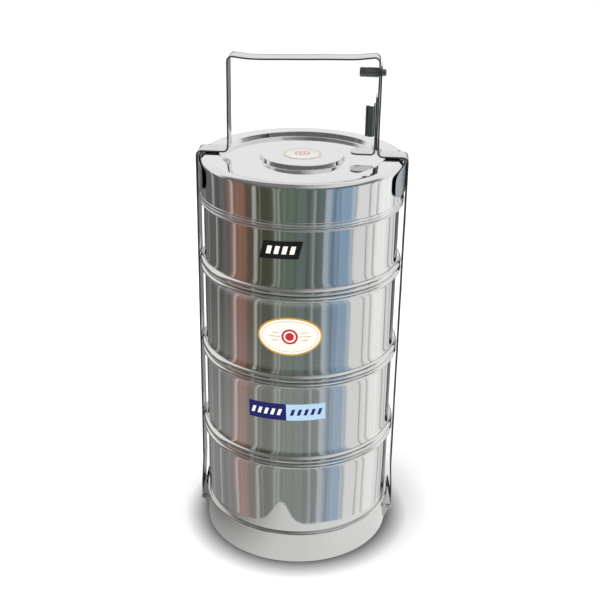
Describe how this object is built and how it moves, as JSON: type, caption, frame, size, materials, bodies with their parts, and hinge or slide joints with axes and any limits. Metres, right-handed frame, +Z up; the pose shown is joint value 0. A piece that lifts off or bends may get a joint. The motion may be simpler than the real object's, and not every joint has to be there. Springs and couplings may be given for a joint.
{
  "type": "tiffin carrier",
  "caption": "Tall round stacking lunch carrier of polished steel: nesting containers, a lid, and a two-part hinged strip frame with a carrying grip and a pinned clasp.",
  "frame": {"origin": "centre of the base, on the table", "axes": "+Z up along the stack, +X towards the clasp side, -Y towards the labelled front"},
  "size_m": [0.1578, 0.1512, 0.3811],
  "materials": {
    "polished_steel": "mirror-polished stainless steel with faint spun marks",
    "strip_steel": "polished stainless strip with dull sheared edges",
    "pin_steel": "turned steel, fine lathe marks",
    "lid_paper": "gloss paper sticker, pale with a thin gold ring",
    "size_paper": "gloss black sticker with plain pale blocks",
    "badge_paper": "gloss sticker, gold rim around a cream field",
    "long_paper": "gloss two-tone sticker, blue and pale blue"
  },
  "bodies": {
    "stack_base": {"base_ring": "polished_steel", "tier_1_bowl": "polished_steel", "left_lug": "strip_steel", "right_lug": "strip_steel", "left_hinge_pin": "pin_steel", "right_hinge_pin": "pin_steel"},
    "tier_2": {"tier_2_bowl": "polished_steel", "long_label": "long_paper"},
    "tier_3": {"tier_3_bowl": "polished_steel", "badge_label": "badge_paper"},
    "tier_4": {"tier_4_bowl": "polished_steel", "size_label": "size_paper"},
    "lid": {"lid": "polished_steel", "lid_label": "lid_paper"},
    "handle_arm": {"handle_strap": "strip_steel", "left_guide_plate": "strip_steel", "latch_plate": "strip_steel", "thumb_tab": "strip_steel"},
    "lock": {"lock_pin": "pin_steel", "lock_knob": "pin_steel"},
    "clasp_arm": {"clasp_strap": "strip_steel", "right_guide_plate": "strip_steel"}
  },
  "joints": [
    {"name": "handle_swing", "type": "hinge", "parent": "stack_base", "child": "handle_arm", "pos_m": [-0.0762, 0, 0.013], "axis": [0, -1, 0], "range_deg": [0, 92]},
    {"name": "clasp_swing", "type": "hinge", "parent": "stack_base", "child": "clasp_arm", "pos_m": [0.0762, 0, 0.013], "axis": [0, 1, 0], "range_deg": [0, 92.1]},
    {"name": "lock_pull", "type": "slide", "parent": "handle_arm", "child": "lock", "axis": [-1, 0, 0], "range_m": [0, 0.005]},
    {"name": "tier_2_lift", "type": "slide", "parent": "stack_base", "child": "tier_2", "axis": [0, 0, 1], "range_m": [0, 0.0056]},
    {"name": "tier_3_lift", "type": "slide", "parent": "tier_2", "child": "tier_3", "axis": [0, 0, 1], "range_m": [0, 0.0056]},
    {"name": "tier_4_lift", "type": "slide", "parent": "tier_3", "child": "tier_4", "axis": [0, 0, 1], "range_m": [0, 0.0056]},
    {"name": "lid_lift", "type": "slide", "parent": "tier_4", "child": "lid", "axis": [0, 0, 1], "range_m": [0, 0.0178]}
  ],
  "couplings": [
    {"joint": "clasp_swing", "follows": "handle_swing", "ratio": 1},
    {"joint": "tier_2_lift", "follows": "handle_swing", "m_per_rad": 0.0034},
    {"joint": "tier_3_lift", "follows": "handle_swing", "m_per_rad": 0.0034},
    {"joint": "tier_4_lift", "follows": "handle_swing", "m_per_rad": 0.0034},
    {"joint": "lid_lift", "follows": "handle_swing", "m_per_rad": 0.0108}
  ]
}
